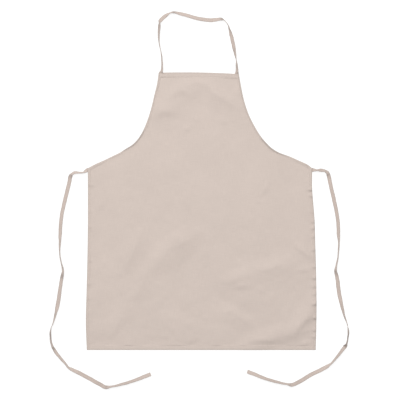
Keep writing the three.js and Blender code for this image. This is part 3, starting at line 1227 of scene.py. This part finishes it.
    def underside(self, x: Array, y: Array, single: Array, puckers: Array) -> Array:
        """Raises the cloth into its folds, creases and tucks, and over the sewn ends of the tapes.

        Args:
            x: Places across.
            y: Places along.
            single: How much of the cloth is a single layer.
            puckers: The height of the puckers.

        Returns:
            The underside's height above the floor.
        """
        raised = self.seats.raised(x, y)
        worn = mix(self.BIB_RUMPLE_SHARE, 1.0, smoothstep(-y, *self.RUMPLE_GROWS))
        coarse = rumple(x, y, self.COARSE_RUMPLE, seed=3)
        fine = rumple(x, y, self.FINE_RUMPLE, seed=4)
        uneven = MM * worn * (coarse + self.FINE_RUMPLE_SHARE * fine)
        loose = sum(self.crease(crease, x, y) for crease in [*CREASES, *self.tucks()])
        loose += puckers + uneven * single
        under = self.folds(x, y) + (1.0 - raised) * (self.slack * single + loose)
        return raised * self.seats.lift + np.maximum(under, 0.0)

    def build(self) -> bpy.types.Object:
        """Builds the cloth as one closed mesh.

        Returns:
            The object.
        """
        x, y, heights = self.grid()
        depths, puckers = self.depths(x, y, heights)
        single, groove, roll, painted_edge_shade = self.turned(depths, heights)
        # Painted shade, carried as the cloth's third value: darker at the rounded edges, along the armholes'
        # curves, in the stitch grooves and beside the tucks, where shade falls.
        painted_shades = (
            painted_edge_shade,
            self.painted_armhole_shade(x, y, depths[0]),
            self.GROOVE_SHADE * groove,
            self.painted_tuck_shade(x, y, depths[0]),
        )
        under = self.underside(x, y, single, puckers)
        upper = under + mix(self.hem_thickness, self.cloth, single) - Hem.GROOVE_DEPTH * groove
        edge_height = mix(under, upper, self.EDGE_LOW)
        cloth = np.stack([x, y, np.maximum.reduce(painted_shades)], axis=-1).reshape(-1, 3)
        places = [
            np.stack([x, y, mix(edge_height, height, roll)], axis=-1).reshape(-1, 3)
            for height in (under, upper)
        ]
        faces = self.faces(*x.shape)
        piece = make_mesh("panel_cloth", np.concatenate(places), faces, np.concatenate([cloth, cloth]))
        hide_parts("panel")
        return piece

    @staticmethod
    def faces(rows: int, across: int) -> list[list[int]]:
        """Faces of the cloth: its underside, its upper side and the strip round its edge.

        Args:
            rows: How many rows of corners each side has.
            across: How many corners each row has.

        Returns:
            The corners of each face. The upper side's corners follow all those of the underside.
        """
        numbers = np.arange(rows * across).reshape(rows, across)
        here, right = numbers[:-1, :-1].ravel(), numbers[:-1, 1:].ravel()
        over, both = numbers[1:, :-1].ravel(), numbers[1:, 1:].ravel()
        upper = np.stack([here, right, both, over], axis=1) + rows * across
        under = np.stack([over, both, right, here], axis=1)
        border = np.concatenate([numbers[0, :-1], numbers[:-1, -1], numbers[-1, :0:-1], numbers[:0:-1, 0]])
        following = np.roll(border, -1)
        strip = np.stack([border, following, following + rows * across, border + rows * across], axis=1)
        return [*upper.tolist(), *under.tolist(), *strip.tolist()]


@dataclass(frozen=True)
class Stitching:
    """Rows of sewn thread.

    Attributes:
        pitch: From one stitch to the next.
        length: The thread that shows of each.
        thickness: Of the thread.
        corners: How many corners the thread's section has.
    """

    pitch: float = 0.0032
    length: float = 0.0025
    thickness: float = 0.00045
    corners: int = 6

    ALONG = (-0.5, -0.36, 0.0, 0.36, 0.5)
    RISE = (-0.9, 0.1, 0.45, 0.1, -0.9)
    GIRTH = (0.7, 1.0, 1.0, 1.0, 0.7)
    NEEDLE_START = 0.1

    def build(self, name: str, places: Array, ways: Array, normals: Array) -> bpy.types.Object:
        """Builds a row of stitches as one mesh, each a closed length of thread.

        Args:
            name: The piece's name.
            places: Where each stitch's middle meets the cloth.
            ways: The way that each runs.
            normals: The way out of the cloth at each.

        Returns:
            The object.
        """
        ways = ways / np.linalg.norm(ways, axis=1, keepdims=True)
        across = np.cross(normals, ways)
        across = across / np.linalg.norm(across, axis=1, keepdims=True)
        out = np.cross(ways, across)
        angles = np.arange(self.corners) * 2 * math.pi / self.corners
        rings = []
        for along, rise, girth in zip(self.ALONG, self.RISE, self.GIRTH):
            centre = places + ways * (along * self.length) + out * (rise * self.thickness / 2)
            radius = girth * self.thickness / 2
            ring = [centre + radius * (math.cos(a) * across + math.sin(a) * out) for a in angles]
            rings.append(np.stack(ring, axis=1))
        corners = np.stack(rings, axis=1).reshape(-1, 3)
        each = len(self.ALONG) * self.corners
        one = tube_faces(len(self.ALONG), self.corners)
        starts = range(0, len(places) * each, each)
        faces = [[start + corner for corner in face] for start in starts for face in one]
        return make_mesh(name, corners, faces, corners)

    def on_cloth(self, name: str, line: Array, tree: BVHTree, face: Face) -> bpy.types.Object:
        """Sews a line of stitches on to a face of the cloth.

        Args:
            name: The piece's name.
            line: The line's places in plan.
            tree: The cloth's mesh.
            face: Which face.

        Returns:
            The object.
        """
        steps = spaced(line, self.pitch)
        middles = (steps[:-1] + steps[1:]) / 2
        plan_ways = np.diff(steps, axis=0)
        far = self.NEEDLE_START * face.value
        found, ways, normals = [], [], []
        for (x, y), (dx, dy) in zip(middles, plan_ways):
            place, normal, _, _ = tree.ray_cast(Vector((x, y, far)), Vector((0, 0, -face.value)))
            if place is None:
                continue
            way = Vector((dx, dy, 0.0))
            found.append(place)
            normals.append(normal * (1 if normal.z * face.value > 0 else -1))
            ways.append(way - normal * way.dot(normal))
        return self.build(name, np.array(found), np.array(ways), np.array(normals))


@dataclass
class HemStitches:
    """The six rows of stitching that hold the panel's hems, each seen on both faces.

    Attributes:
        panel: The panel.
        stitching: The thread.
    """

    panel: Panel
    stitching: Stitching

    LINE_PITCH = 0.001
    LEVEL_STEPS = 400

    def lines(self) -> dict[str, Array]:
        """Draws the stitch line of each hem in plan.

        Returns:
            The lines, by name.
        """
        panel, outline = self.panel, self.panel.outline
        inset = Hem.STITCH_INSET
        found = {}
        for side in Side:
            word = side.name.lower()
            whole = panel.edge_line(side, lambda y: panel.side_width(y) - inset, self.LINE_PITCH)
            low, high = -outline.skirt_length + inset, outline.bib_height - inset
            found[f"{word}_side"] = whole[(whole[:, 1] > low) & (whole[:, 1] < 0)]
            found[f"{word}_armhole"] = whole[(whole[:, 1] >= 0) & (whole[:, 1] < high)]
        levels = {
            "top": outline.bib_height - panel.top_hem.width + inset,
            "bottom": -outline.skirt_length + panel.bottom_hem.width - inset,
        }
        for word, level in levels.items():
            height = np.array(level)
            left = -float(outline.half_width(Side.LEFT, height)) + inset
            right = float(outline.half_width(Side.RIGHT, height)) - inset
            x = np.linspace(left, right, self.LEVEL_STEPS)
            found[word] = np.stack([x, panel.bowed(x, np.full_like(x, level))], axis=1)
        return found

    def build(self, cloth: bpy.types.Object) -> list[bpy.types.Object]:
        """Sews every row on to both faces of the cloth.

        Args:
            cloth: The panel's mesh.

        Returns:
            The rows of stitches.
        """
        mesh = cloth.data
        tree = BVHTree.FromPolygons([v.co for v in mesh.vertices], [p.vertices for p in mesh.polygons])
        return [
            self.stitching.on_cloth(f"{word}_hem_stitches_{face.name.lower()}", line, tree, face)
            for word, line in self.lines().items()
            for face in Face
        ]


@dataclass
class Tape:
    """A folded tape that is edge-stitched, lying in a route of places and rolls.

    Attributes:
        name: The piece's name.
        node: The solid that it stands for.
        route: Its places from its sewn end on.
        kinks: Where it turns over.
        seed: Picks its waves.
        width: Across the tape.
        thickness: Through it.
        step: From one section to the next.
        stitch_inset: From its open edge to its row of stitches.
        wave: How far its edges wave.
        painted_edge_shade: How much painted shade its edges take, where they roll over.
        both_sewn: Whether both its ends are sewn in.
    """

    name: str
    node: str
    route: Sequence[Place]
    kinks: Sequence[Kink]
    seed: int
    both_sewn: bool = False
    width: float = 0.012
    thickness: float = 0.0014
    step: float = 0.0022
    stitch_inset: float = 0.0016
    wave: float = 0.0003
    painted_edge_shade: float = 0.35

    UPPER_PROFILE = (
        (-1.0, 0.0), (-0.985, 0.45), (-0.93, 0.8), (-0.83, 1.0), (-0.4, 0.88), (0.1, 0.84), (0.55, 0.9),
        (0.68, 0.82), (0.735, 0.6), (0.79, 0.82), (0.88, 0.95), (0.955, 0.82), (0.99, 0.5), (0.97, 0.16),
    )
    NOTCH = (0.92, 0.0)
    SPAN_STEPS = 40
    # How far before its middle a kink is highest, in shares of its reach.
    CREST_BEFORE = 0.7
    # How far from a sewn end the waves set in.
    FREE_FROM = (0.02, 0.05)
    SWAY_PITCH = 0.02
    BREADTH_PITCH = 0.03
    BREADTH_CHANGE = 0.025
    CUP_PITCH = 0.025
    # Where the painted shade of its edges sets in and where it is full, in shares of half the width and of
    # half the thickness.
    SHADED = (0.55, 0.95)
    STITCH_HEIGHT = 0.6

    def curve(self) -> tuple[Array, Array]:
        """The tape's middle line in plan, evenly spaced.

        Returns:
            The places, and the roll at each in radians.
        """
        points = np.array([place[:2] for place in self.route], float)
        rolls = np.radians([place.roll for place in self.route])
        ends = np.concatenate([[2 * points[0] - points[1]], points, [2 * points[-1] - points[-2]]])
        gaps = np.sqrt(np.linalg.norm(np.diff(ends, axis=0), axis=1))
        places, turns = [], []
        for span in range(len(points) - 1):
            p0, p1, p2, p3 = ends[span:span + 4]
            g0, g1, g2 = gaps[span:span + 3]
            slope_1 = ((p1 - p0) / g0 - (p2 - p0) / (g0 + g1) + (p2 - p1) / g1) * g1
            slope_2 = ((p2 - p1) / g1 - (p3 - p1) / (g1 + g2) + (p3 - p2) / g2) * g1
            t = np.linspace(0.0, 1.0, self.SPAN_STEPS, endpoint=span == len(points) - 2)[:, None]
            places.append(curved(p1, p2, slope_1, slope_2, t))
            turns.append(mix(rolls[span], rolls[span + 1], smoothstep(t[:, 0], 0.0, 1.0)))
        line = spaced(np.column_stack([np.concatenate(places), np.concatenate(turns)]), self.step)
        return line[:, :2], line[:, 2]

    def kinked(self, sections: int) -> tuple[Array, Array]:
        """What the kinks do to each section.

        Args:
            sections: How many sections the tape has.

        Returns:
            How far each is raised, and how much painted shade it takes where the tape turns over.
        """
        reached = np.arange(sections) * self.step / MM
        lift, shade = np.zeros(sections), np.zeros(sections)
        for kink in self.kinks:
            near = (reached - kink.along) / kink.reach
            lift += MM * kink.lift * np.exp(-((near + self.CREST_BEFORE) ** 2))
            shade += kink.shade * np.exp(-(near**2))
        return lift, np.minimum(shade, 1.0)

    def section_frames(self) -> tuple[Array, Array, Array, Array]:
        """Places the tape's sections. At every roll the tape rests on the floor, apart from its kinks.

        Returns:
            Each section's centre, the way along the tape, the way across it and the way through it.
        """
        plan, roll = self.curve()
        tangent = np.gradient(plan, axis=0)
        tangent /= np.linalg.norm(tangent, axis=1, keepdims=True)
        upright = np.abs(np.sin(roll)) * self.width
        flat = np.abs(np.cos(roll)) * self.thickness
        centre = np.column_stack([plan, (upright + flat) / 2 + self.kinked(len(plan))[0]])
        along = np.gradient(centre, axis=0)
        along /= np.linalg.norm(along, axis=1, keepdims=True)
        across = np.column_stack(
            [-tangent[:, 1] * np.cos(roll), tangent[:, 0] * np.cos(roll), np.sin(roll)]
        )
        return centre, along, across, np.cross(along, across)

    def profile(self) -> Array:
        """Draws the tape's section: a folded edge, two layers, a row of stitches and an open edge.

        Returns:
            Its corners, across the tape and through it.
        """
        upper = np.array(self.UPPER_PROFILE)
        lower = upper[:0:-1] * (1, -1)
        loop = np.concatenate([upper, [self.NOTCH], lower])
        return loop * (self.width / 2, self.thickness / 2)

    def build(self) -> bpy.types.Object:
        """Builds the tape as one closed mesh.

        Returns:
            The object.
        """
        centre, along, across, through = self.section_frames()
        loop = self.profile()[::-1]
        reached = np.arange(len(centre)) * self.step
        free = smoothstep(reached, *self.FREE_FROM)
        if self.both_sewn:
            free = free * free[::-1]
        sway = self.wave * ripple(reached, self.SWAY_PITCH, self.seed) * free
        breadth = 1.0 + self.BREADTH_CHANGE * ripple(reached, self.BREADTH_PITCH, self.seed + 1) * free
        cup = self.wave * ripple(reached, self.CUP_PITCH, self.seed + 2) * free
        offset = loop[None, :, 0] * breadth[:, None] + sway[:, None]
        bent = loop[None, :, 1] + cup[:, None] * (loop[None, :, 0] / (self.width / 2)) ** 2
        corners = centre[:, None] + across[:, None] * offset[..., None]
        corners = corners + through[:, None] * bent[..., None]
        corners[..., 2] = np.maximum(corners[..., 2], 0.0)
        # Painted shade along the tape's edges and at its kinks, where the edges roll over and the tape turns.
        from_middle = np.abs(loop[None, :, 0]) / (self.width / 2)
        shade = self.painted_edge_shade * smoothstep(from_middle, *self.SHADED)
        shade = shade + self.kinked(len(centre))[1][:, None]
        on_tape = np.stack(
            [offset, np.broadcast_to(reached[:, None], offset.shape), np.minimum(shade, 1.0)], axis=-1
        )
        faces = tube_faces(len(centre), len(loop))
        piece = make_mesh(self.name, corners.reshape(-1, 3), faces, on_tape.reshape(-1, 3))
        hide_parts(self.node)
        return piece

    def length(self) -> float:
        """The tape's length along its middle line in plan, its sewn ends included."""
        plan, _ = self.curve()
        return float(np.linalg.norm(np.diff(plan, axis=0), axis=1).sum())

    def stitches(self, stitching: Stitching) -> list[bpy.types.Object]:
        """Sews the row of stitches along the tape's open edge, on both faces.

        Args:
            stitching: The thread.

        Returns:
            The two rows.
        """
        centre, along, across, through = self.section_frames()
        reached = np.arange(len(centre)) * self.step
        wanted = np.arange(stitching.pitch, reached[-1] - stitching.pitch, stitching.pitch)
        inset = self.width / 2 - self.stitch_inset
        rows = []
        for face in Face:
            out = face.value * self.STITCH_HEIGHT * self.thickness / 2
            line = centre + across * inset + through * out
            pick = [
                np.column_stack([np.interp(wanted, reached, part[:, axis]) for axis in range(3)])
                for part in (line, along, through * face.value)
            ]
            rows.append(stitching.build(f"{self.name}_stitches_{face.name.lower()}", *pick))
        return rows


@dataclass(frozen=True)
class Routes:
    """Turns the tables of routes into places in metres.

    Attributes:
        seats: Where the tapes are sewn in.
        loop_height: From the bib's lower top corner up to the strap's middle line at its highest.
        tie_reach: About the width that one tie covers.
        tie_drop: From the waist line down to the lowest part of a tie.
    """

    seats: Seats
    loop_height: float = 0.188
    tie_reach: float = 0.303
    tie_drop: float = 0.67

    def neck(self) -> list[Place]:
        """Lays the neck strap, whose left sewn end is turned over.

        Returns:
            Its places from that end to its right one.
        """
        left_end, left = (place._replace(roll=180.0) for place in self.seats.neck(Side.LEFT))
        right_end, right = self.seats.neck(Side.RIGHT)
        base = self.seats.outline.bib_height
        between = [
            Place(mix(left.x, right.x, row.across), base + row.up * self.loop_height, row.roll)
            for row in NECK_ROUTE
        ]
        return [left_end, left, *between, right, right_end]

    def tie(self, side: Side) -> list[Place]:
        """Lays a tie.

        Args:
            side: Which side it is sewn to.

        Returns:
            Its places from its sewn end to its free one.
        """
        end, edge = self.seats.tie(side)
        rows = LEFT_TIE_ROUTE if side is Side.LEFT else RIGHT_TIE_ROUTE
        free = [
            Place(edge.x + side.value * row.out * self.tie_reach, -row.down * self.tie_drop, row.roll)
            for row in rows
        ]
        return [end, edge, *free]


class LampKind(Enum):
    """What a lamp is like."""

    BROAD = "AREA"
    FAR = "SUN"


@dataclass(frozen=True)
class Lamp:
    """A soft lamp that points at the apron.

    Attributes:
        name: Its name.
        kind: A broad lamp near by, or one so far off that its light is even.
        power: Its power in watts, or for a far lamp in watts for each square metre.
        spread: Its width in metres, or for a far lamp in radians.
        place: Where it hangs, or for a far lamp the way to it.
    """

    name: str
    kind: LampKind
    power: float
    spread: float
    place: tuple[float, float, float]

    def build(self) -> None:
        """Makes the lamp."""
        data = bpy.data.lights.new(self.name, self.kind.value)
        data.energy = self.power
        if self.kind is LampKind.BROAD:
            data.shape = "DISK"
            data.size = self.spread
        else:
            data.angle = self.spread
        lamp = bpy.data.objects.new(self.name, data)
        lamp.location = self.place
        lamp.rotation_euler = (-Vector(self.place)).to_track_quat("-Z", "Y").to_euler()
        bpy.context.scene.collection.objects.link(lamp)


@dataclass(frozen=True)
class Studio:
    """A pale floor, soft light and a camera that looks straight down.

    Attributes:
        picture_width: How much of the floor the picture shows across.
        centre_y: Where the middle of the picture is.
        distance: From the floor up to the camera.
        sensor: The camera's sensor width in millimetres.
        floor_size: The floor's width.
        floor_drop: How far the floor's plane lies below the apron's.
        floor_colour: The floor's colour.
        floor_glow: How strongly the floor, a light table, is lit from below.
        sight: How far the camera sees.
        sky: The strength of the light from all round.
        overhead: The lamp straight above.
        window: The broad light from beyond the bib, which brings out the folds.
    """

    picture_width: float = 1.224
    centre_y: float = -0.097
    distance: float = 4.0
    sensor: float = 36.0
    floor_size: float = 16.0
    floor_drop: float = 0.0003
    floor_colour: float = 0.2
    floor_glow: float = 0.8
    sight: float = 50.0
    sky: float = 0.58
    overhead: Lamp = Lamp("overhead_lamp", LampKind.BROAD, power=82.0, spread=2.2, place=(-0.3, 0.85, 3.3))
    window: Lamp = Lamp("window_light", LampKind.FAR, power=1.3, spread=0.5, place=(-0.8, 3.0, 2.9))

    def camera(self) -> None:
        """Makes the camera."""
        data = bpy.data.cameras.new("camera")
        data.sensor_width = self.sensor
        data.lens = self.sensor * self.distance / self.picture_width
        data.clip_end = self.sight
        camera = bpy.data.objects.new("camera", data)
        camera.location = (0.0, self.centre_y, self.distance)
        bpy.context.scene.collection.objects.link(camera)
        bpy.context.scene.camera = camera

    def floor(self) -> None:
        """Makes the floor."""
        half = self.floor_size / 2
        corners = np.array([(-half, -half, 0), (half, -half, 0), (half, half, 0), (-half, half, 0)])
        floor = make_mesh("floor", corners + (0, 0, -self.floor_drop), [[0, 1, 2, 3]])
        shader = Shader("pale_floor")
        material = shader.finished({
            "Base Color": (self.floor_colour, self.floor_colour, self.floor_colour, 1.0),
            "Roughness": 1.0,
            "Emission Color": WHITE,
            "Emission Strength": self.floor_glow,
        })
        floor.data.materials.append(material)

    def light(self) -> None:
        """Makes the two lamps and the light from all round."""
        self.overhead.build()
        self.window.build()
        world = bpy.data.worlds.new("studio")
        world.use_nodes = True
        background = world.node_tree.nodes["Background"]
        background.inputs["Color"].default_value = WHITE
        background.inputs["Strength"].default_value = self.sky
        bpy.context.scene.world = world
        bpy.context.scene.view_settings.view_transform = "Standard"

    def build(self) -> None:
        """Makes the camera, the floor and the light."""
        self.camera()
        self.floor()
        self.light()


def main() -> None:
    """Builds the studio and the apron."""
    logging.basicConfig(level=logging.INFO, format="%(name)s %(message)s")
    Studio().build()
    cotton = WeaveFinish("undyed_cotton", (0.699, 0.651, 0.621)).make()
    tape_cotton = WeaveFinish("cotton_tape", (0.676, 0.624, 0.594), pitch=0.0006, turned=0.16).make()
    outline = Outline()
    seats = Seats(outline)
    panel = Panel(outline, seats)
    stitching = Stitching()

    cloth = settle(panel.build(), cotton)
    rows = [settle(row, cotton) for row in HemStitches(panel, stitching).build(cloth)]

    routes = Routes(seats)
    tapes = [
        Tape("neck_tape", "neck_strap", routes.neck(), NECK_KINKS, seed=51, both_sewn=True),
        Tape("left_tie_tape", "tie_left", routes.tie(Side.LEFT), LEFT_KINKS, seed=61),
        Tape("right_tie_tape", "tie_right", routes.tie(Side.RIGHT), RIGHT_KINKS, seed=71),
    ]
    for tape in tapes:
        piece = settle(tape.build(), tape_cotton)
        rows = [settle(row, tape_cotton) for row in tape.stitches(stitching)]
        tape.length()
        log.info("%s: %.0f mm long", tape.name, tape.length() / MM)


if __name__ == "__main__":
    main()
